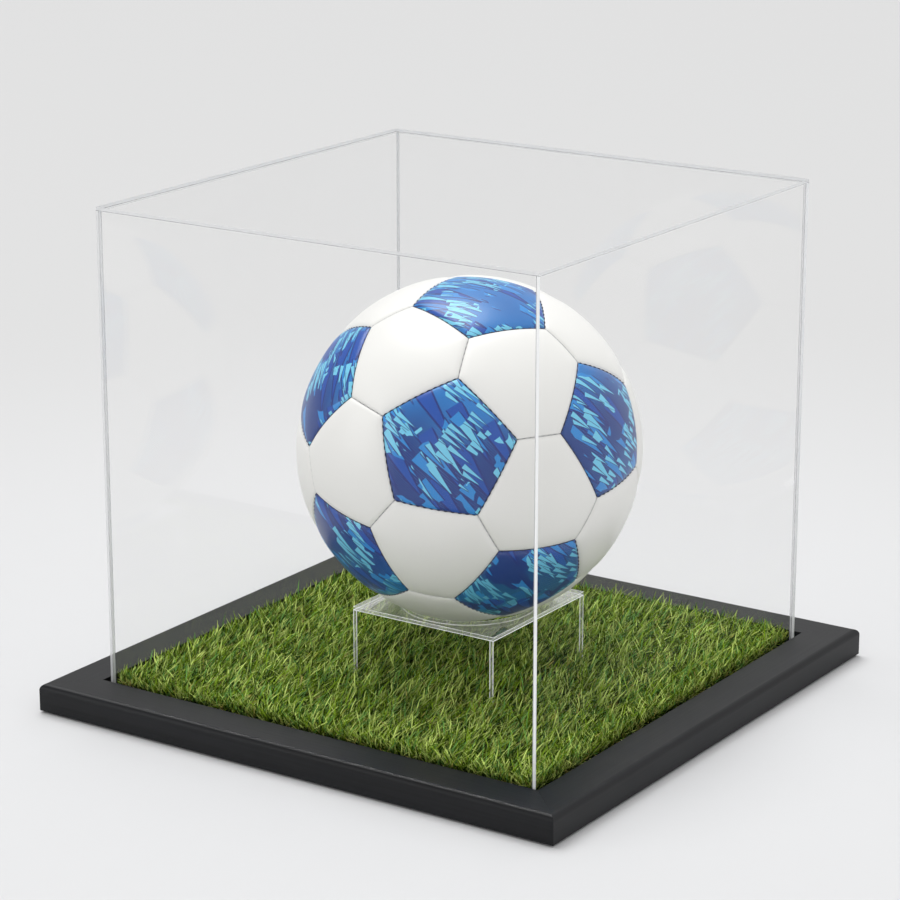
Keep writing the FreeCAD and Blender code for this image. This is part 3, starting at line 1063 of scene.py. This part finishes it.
@dataclass
class Riser:
    """The clear stand: a plate with a round seat on two side sheets."""

    seat_radius: float = 44.0 * MM
    leg_gloss: float = 0.02
    plate_gloss: float = 0.04
    plate_grazing: float = 2.6
    # painted highlights and painted glow on the riser's cut edges and arrises
    edge_colour: Colour = (0.93, 0.94, 0.95)
    arris_colour: Colour = (0.95, 0.96, 0.96)
    edge_alpha: float = 0.14
    arris_alpha: float = 0.92
    arris_share: float = 0.66
    dulled: float = 0.30
    edge_glow: float = 0.35

    def sheet(self, node: str, gloss: float) -> ClearSheet:
        """The finish of one sheet, with a fine painted highlight line along each arris and a
        painted glow on its cut edges.

        Args:
            node: the sheet's node.
            gloss: how much its faces mirror.

        Returns:
            The finish.
        """
        return ClearSheet.around(
            node,
            face_gloss=gloss,
            edge_colour=self.edge_colour,
            arris_colour=self.arris_colour,
            edge_alpha=self.edge_alpha,
            arris_alpha=self.arris_alpha,
            arris_share=self.arris_share,
            both_arrises=True,
            dulled=self.dulled,
            edge_glow=self.edge_glow,
        )

    def build(self) -> None:
        """Dresses the plate and its two legs."""
        for leg in ("riser_leg_left", "riser_leg_right"):
            dress(leg, self.sheet(leg, self.leg_gloss))
        low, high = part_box("riser_plate")
        plate = replace(
            self.sheet("riser_plate", self.plate_gloss),
            bore_centre=((low.x + high.x) / 2, (low.y + high.y) / 2),
            bore_radius=self.seat_radius,
            grazing_gloss=self.plate_grazing,
        )
        dress("riser_plate", plate)
        logging.info("riser: plate and legs dressed")


@dataclass
class Ball:
    """A stitched football of twelve printed and twenty white panels."""

    radius: float = 110.0 * MM
    corner_cut: float = 0.39
    cuts: int = 15
    seam_depth: float = 1.1 * MM
    seam_reach: float = 1.0 * MM
    puff_depth: float = 1.3 * MM
    puff_reach: float = 6.5 * MM
    skin: float = 0.4 * MM
    crowding: float = 1.8
    yaw: float = math.radians(-126.0)
    pitch: float = math.radians(60.6)
    roll: float = math.radians(-25.7)
    stitch_pitch: float = 4.5 * MM
    stitch_length: float = 2.3 * MM
    stitch_radius: float = 0.40 * MM
    stitch_rise: float = 0.55 * MM
    valve_way: Triple = (-0.5, 0.8, -0.35)
    valve_radius: float = 3.2 * MM
    valve_depth: float = 6.0 * MM
    valve_proud: float = 0.25 * MM
    valve_round: float = 0.35 * MM
    valve_lip: float = 0.5 * MM
    valve_dish: float = 0.35 * MM
    needle_lip: float = 1.1 * MM
    needle_depth: float = 3.0 * MM
    print_shift: tuple[float, float] = (0.31, 0.17)

    def centre(self) -> Vector:
        """The ball's middle, where its joint is."""
        return Vector(next(j["pos_m"] for j in frame["joints"] if j["name"] == "ball_turn"))

    def panels(self) -> bpy.types.Object:
        """Models the flat-faced ball, a twenty-sided solid with its corners cut off.

        Returns:
            The ball, one face to a panel, with its middle at the origin.
        """
        deselect()
        bpy.ops.mesh.primitive_ico_sphere_add(subdivisions=1, radius=self.radius)
        made = named("ball_panels")
        golden = (1 + math.sqrt(5)) / 2
        stand = Euler((self.roll, self.pitch, self.yaw), "XYZ").to_matrix()
        lean = Matrix.Rotation(-math.atan(1 / golden), 3, "X")
        tip = lean @ Matrix.Rotation(-math.pi / 2, 3, "Z")
        made.matrix_world = (stand @ tip).to_4x4()
        bpy.ops.object.transform_apply(location=True, rotation=True, scale=True)
        bpy.ops.object.mode_set(mode="EDIT")
        bpy.ops.mesh.select_all(action="SELECT")
        share = 100 * self.corner_cut
        bpy.ops.mesh.bevel(offset_type="PERCENT", offset_pct=share, affect="VERTICES")
        bpy.ops.object.mode_set(mode="OBJECT")
        return made

    def outlines(self, made: bpy.types.Object) -> list[np.ndarray]:
        """Numbers the panels and reads their corners.

        Args:
            made: the flat-faced ball.

        Returns:
            Each panel's corners, as unit directions from the ball's middle.
        """
        found = []
        for number, panel in enumerate(made.data.polygons):
            panel.material_index = number
            corners = np.array([made.data.vertices[i].co[:] for i in panel.vertices])
            found.append(corners / np.linalg.norm(corners, axis=1, keepdims=True))
        return found

    def shaped(
        self, ways: np.ndarray, outline: np.ndarray
    ) -> tuple[np.ndarray, np.ndarray, np.ndarray]:
        """Rounds one panel's points.

        Args:
            ways: the points' directions from the ball's middle.
            outline: the panel's corner directions, in order.

        Returns:
            The shaped points, their distance to the seam in millimetres, and their place on the
            panel's plane.
        """
        middle = outline.sum(0) / np.linalg.norm(outline.sum(0))
        up = np.array([0.0, 0.0, 1.0]) - middle * middle[2]
        up /= np.linalg.norm(up)
        across = np.cross(up, middle)
        flat = ways / (ways @ middle)[:, None]
        plane = np.stack([flat @ across, flat @ up], 1)
        corner = outline / (outline @ middle)[:, None]
        corner = np.stack([corner @ across, corner @ up], 1)
        side = np.roll(corner, -1, 0) - corner
        outward = np.stack([side[:, 1], -side[:, 0]], 1)
        reach = (corner * outward).sum(1)
        share = (plane @ outward.T / reach).max(1).clip(1e-6, 1.0)
        plane *= ((1 - (1 - share) ** self.crowding) / share)[:, None]
        ways = middle + plane[:, :1] * across + plane[:, 1:] * up
        ways /= np.linalg.norm(ways, axis=1, keepdims=True)
        inward = np.cross(outline, np.roll(outline, -1, 0))
        inward /= np.linalg.norm(inward, axis=1, keepdims=True)
        inward *= np.sign(inward @ middle)[:, None]
        gap = self.radius * np.arcsin((ways @ inward.T).min(1).clip(0.0, 1.0))
        sink = self.seam_depth * np.exp(-gap / self.seam_reach)
        sink += self.puff_depth * np.exp(-gap / self.puff_reach)
        return ways * (self.radius - sink)[:, None], gap / MM, plane * self.radius

    def stitched_panels(self) -> list[np.ndarray]:
        """Models both kinds of panel.

        Returns:
            The panels' corner directions.
        """
        made = self.panels()
        outlines = self.outlines(made)
        bpy.ops.object.mode_set(mode="EDIT")
        bpy.ops.mesh.select_all(action="SELECT")
        bpy.ops.mesh.edge_split(type="EDGE")
        bpy.ops.mesh.select_all(action="SELECT")
        bpy.ops.mesh.poke()
        bpy.ops.mesh.subdivide(number_cuts=self.cuts)
        bpy.ops.mesh.select_mode(type="FACE")
        bpy.ops.mesh.select_all(action="DESELECT")
        bpy.ops.object.mode_set(mode="OBJECT")
        mesh = made.data
        owner = np.zeros(len(mesh.vertices), dtype=int)
        for face in mesh.polygons:
            owner[list(face.vertices)] = face.material_index
        points = np.array([v.co[:] for v in mesh.vertices])
        ways = points / np.linalg.norm(points, axis=1, keepdims=True)
        seam, plane = np.zeros(len(points)), np.zeros((len(points), 2))
        for number, outline in enumerate(outlines):
            own = owner == number
            points[own], seam[own], plane[own] = self.shaped(ways[own], outline)
            plane[own] += [shift * number for shift in self.print_shift]
        points += np.array(self.centre()[:])
        mesh.vertices.foreach_set("co", points.ravel())
        store(mesh, "seam_mm", seam)
        corners = np.array([loop.vertex_index for loop in mesh.loops])
        layer = mesh.uv_layers.new(name="panel")
        layer.data.foreach_set("uv", plane[corners].astype(np.float32).ravel())
        for face in mesh.polygons:
            face.select = len(outlines[face.material_index]) == 5
            face.material_index = 0
        mesh.update()
        bpy.ops.object.mode_set(mode="EDIT")
        bpy.ops.mesh.separate(type="SELECTED")
        bpy.ops.object.mode_set(mode="OBJECT")
        printed = next(o for o in bpy.context.selected_objects if o is not made)
        self.finish_panels(printed, "printed", "blue", PrintedPanel("blue_print"))
        self.finish_panels(made, "plain", "white", CoatedPanel("white_coat"))
        return outlines

    def finish_panels(
        self, made: bpy.types.Object, name: str, colour: str, finish: Finish
    ) -> None:
        """Gives the panels their skin, shading and finish.

        Args:
            made: the panels.
            name: what the piece's name ends in.
            colour: the colour in the names of their frame node and material slot.
            finish: their finish.
        """
        deselect()
        bpy.context.view_layer.objects.active = made
        made.select_set(True)
        made.name = made.data.name = f"ball_panels_{name}"
        bpy.ops.object.shade_smooth_by_angle(angle=math.radians(50.0))
        skin = made.modifiers.new("skin", "SOLIDIFY")
        skin.thickness = self.skin
        skin.offset = -1.0
        bpy.ops.object.modifier_apply(modifier="skin")
        settle(made, "ball", finish)
        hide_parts(f"ball_panels_{colour}")
        logging.info("ball: %s panels, %d faces", name, len(made.data.polygons))

    def stitches(self, outlines: list[np.ndarray]) -> None:
        """Lays short threads along every seam.

        Args:
            outlines: the panels' corner directions.
        """
        deselect()
        bpy.ops.mesh.primitive_cylinder_add(
            vertices=6,
            radius=self.stitch_radius,
            depth=self.stitch_length,
            rotation=(0.0, math.pi / 2, 0.0),
        )
        made = named("stitch")
        bpy.ops.object.transform_apply(location=True, rotation=True, scale=True)
        bpy.ops.object.mode_set(mode="EDIT")
        bpy.ops.mesh.select_all(action="SELECT")
        bpy.ops.mesh.subdivide(number_cuts=1)
        bpy.ops.object.mode_set(mode="OBJECT")
        for vertex in made.data.vertices:
            if abs(vertex.co.x) > self.stitch_length * 0.4:
                vertex.co.y *= 0.6
                vertex.co.z = vertex.co.z * 0.6 - self.stitch_radius * 0.9
        pattern = Pattern.taken(made)
        low = self.radius - self.seam_depth - self.puff_depth + self.stitch_rise
        centre = np.array(self.centre()[:])
        seams: dict[tuple, tuple[np.ndarray, np.ndarray, int]] = {}
        for outline in outlines:
            for first, last in zip(outline, np.roll(outline, -1, 0)):
                key = tuple(np.round(first + last, 3) + 0.0)
                seams[key] = (first, last, seams.get(key, (first, last, 0))[2] + len(outline))
        for name, sides, finish in (("dark", 5 + 6, THREAD), ("pale", 6 + 6, PALE_THREAD)):
            places = []
            for first, last, both in seams.values():
                if both != sides:
                    continue
                arc = math.acos(float(np.clip(first @ last, -1, 1)))
                count = max(2, round(self.radius * arc / self.stitch_pitch))
                for share in (np.arange(count) + 0.5) / count:
                    out = first * math.sin((1 - share) * arc) + last * math.sin(share * arc)
                    out /= math.sin(arc)
                    along = np.cross(np.cross(first, last), out)
                    along /= np.linalg.norm(along)
                    turned = np.stack([along, np.cross(out, along), out])
                    places.append(pattern.points @ turned + centre + out * low)
            made = pattern.copies(f"ball_stitches_{name}", np.array(places))
            settle(made, "ball", finish)
            logging.info("ball: %d %s threads", len(places), name)

    def valve(self, outlines: list[np.ndarray]) -> None:
        """Models the valve's rubber collar with its needle hole.

        Args:
            outlines: the panels' corner directions.
        """
        wanted = np.array(self.valve_way) / np.linalg.norm(self.valve_way)
        middles = [o.sum(0) / np.linalg.norm(o.sum(0)) for o in outlines if len(o) == 6]
        way = Vector(max(middles, key=lambda m: float(m @ wanted)))
        deselect()
        bpy.ops.mesh.primitive_cylinder_add(
            vertices=40, radius=self.valve_radius, depth=self.valve_depth
        )
        made = named("ball_valve_collar")
        for face in made.data.polygons:
            face.select = face.normal.z > 0.9
        bpy.ops.object.mode_set(mode="EDIT")
        bpy.ops.mesh.select_mode(type="FACE")
        bpy.ops.mesh.bevel(offset=self.valve_round, segments=3)
        for lip, depth in (
            (self.valve_lip, self.valve_dish),
            (self.needle_lip, self.needle_depth),
        ):
            bpy.ops.mesh.inset(thickness=lip)
            bpy.ops.mesh.extrude_region_move(TRANSFORM_OT_translate={"value": (0.0, 0.0, -depth)})
        bpy.ops.object.mode_set(mode="OBJECT")
        turn = way.to_track_quat("Z", "Y").to_matrix().to_4x4()
        out = self.radius + self.valve_proud - self.valve_depth / 2
        made.matrix_world = Matrix.Translation(self.centre() + way * out) @ turn
        bpy.ops.object.transform_apply(location=True, rotation=True, scale=True)
        bpy.ops.object.shade_smooth_by_angle(angle=math.radians(35.0))
        settle(made, "ball", RUBBER)
        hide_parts("ball_valve")
        logging.info("ball: valve collar")

    def build(self) -> None:
        """Makes the panels, the stitches and the valve, and dresses what lies inside."""
        outlines = self.stitched_panels()
        self.stitches(outlines)
        self.valve(outlines)
        dress("ball_lining", LINING)
        dress("ball_bladder", RUBBER)


@dataclass(frozen=True)
class Lamp:
    """A soft square lamp, far off."""

    name: str
    place: Triple
    size: float
    watts: float

    def hang(self, aim: Vector) -> None:
        """Adds the lamp.

        Args:
            aim: the point that it faces.
        """
        deselect()
        bpy.ops.object.light_add(type="AREA", location=self.place)
        made = named(self.name)
        made.rotation_euler = (aim - Vector(self.place)).to_track_quat("-Z", "Y").to_euler()
        made.data.size = self.size
        made.data.energy = self.watts


@dataclass
class Studio:
    """A pale floor, soft light from all round and the camera."""

    lamps: tuple[Lamp, ...] = (
        Lamp("fill_left", (-4.4, -4.9, 1.9), 3.9, 92.0),
        Lamp("fill_near", (1.6, -6.2, 1.3), 3.1, 27.0),
    )
    lamp_aim: Triple = (0.0, 0.0, 0.16)
    floor_side: float = 40.0
    azimuth: float = math.radians(33.898)
    pitch: float = math.radians(16.231)
    lens: float = 123.455
    sensor: float = 36.0
    far_clip: float = 100.0
    place: Triple = (1.04725, -1.56988, 0.70748)
    sky: float = 0.85
    front_sky: float = 0.30
    sky_start: float = -0.6
    sky_end: float = 0.45
    sky_way: Triple = (0.80, 0.55, 0.20)
    sky_colour: Colour = (0.997, 0.998, 1.0)
    sun_way: Triple = (-0.38, 0.20, 1.0)
    sun: float = 2.00
    sun_spread: float = math.radians(40.0)

    def floor(self) -> None:
        """Lays the floor."""
        deselect()
        bpy.ops.mesh.primitive_plane_add(size=self.floor_side)
        made = named("studio_floor")
        bpy.ops.object.mode_set(mode="EDIT")
        bpy.ops.mesh.subdivide(number_cuts=3)
        bpy.ops.object.mode_set(mode="OBJECT")
        made.data.materials.append(PaleFloor("pale_floor").material())

    def surround(self) -> None:
        """Light from all round, a little darker from the front."""
        world = bpy.data.worlds.new("studio_surround")
        bpy.context.scene.world = world
        world.use_nodes = True
        tree = world.node_tree
        tree.nodes.clear()
        way = tree.nodes.new("ShaderNodeTexCoord")
        parts = tree.nodes.new("ShaderNodeVectorMath")
        parts.operation = "DOT_PRODUCT"
        parts.inputs[1].default_value = self.sky_way
        share = tree.nodes.new("ShaderNodeMapRange")
        light = tree.nodes.new("ShaderNodeBackground")
        end = tree.nodes.new("ShaderNodeOutputWorld")
        tree.links.new(way.outputs["Generated"], parts.inputs[0])
        tree.links.new(parts.outputs["Value"], share.inputs["Value"])
        share.inputs["From Min"].default_value = self.sky_start
        share.inputs["From Max"].default_value = self.sky_end
        share.inputs["To Min"].default_value = self.front_sky
        share.inputs["To Max"].default_value = self.sky
        tree.links.new(share.outputs["Result"], light.inputs["Strength"])
        light.inputs["Color"].default_value = (*self.sky_colour, 1.0)
        tree.links.new(light.outputs["Background"], end.inputs["Surface"])

    def skylight(self) -> None:
        """Adds a very soft distant lamp."""
        deselect()
        bpy.ops.object.light_add(type="SUN")
        made = named("broad_soft")
        made.rotation_euler = Vector(self.sun_way).to_track_quat("Z", "Y").to_euler()
        made.data.energy = self.sun
        made.data.angle = self.sun_spread

    def camera(self) -> None:
        """Sets the camera."""
        deselect()
        turn = (math.pi / 2 - self.pitch, 0.0, self.azimuth)
        bpy.ops.object.camera_add(location=self.place, rotation=turn)
        made = named("studio_camera")
        made.data.sensor_width = self.sensor
        made.data.lens = self.lens
        made.data.clip_end = self.far_clip
        bpy.context.scene.camera = made

    def build(self) -> None:
        """Sets the stage."""
        scene = bpy.context.scene
        scene.view_settings.view_transform = "Standard"
        scene.cycles.transparent_max_bounces = 32
        self.floor()
        self.surround()
        for lamp in self.lamps:
            lamp.hang(Vector(self.lamp_aim))
        self.skylight()
        self.camera()


def main() -> None:
    """Builds every sub-assembly in order."""
    logging.basicConfig(level=logging.INFO, format="%(message)s")
    for part in (Base(), Turf(), Cover(), Riser(), Ball(), Studio()):
        part.build()
        logging.info("%s: done", type(part).__name__)


if __name__ == "__main__":
    main()
    bpy.context.view_layer.update()
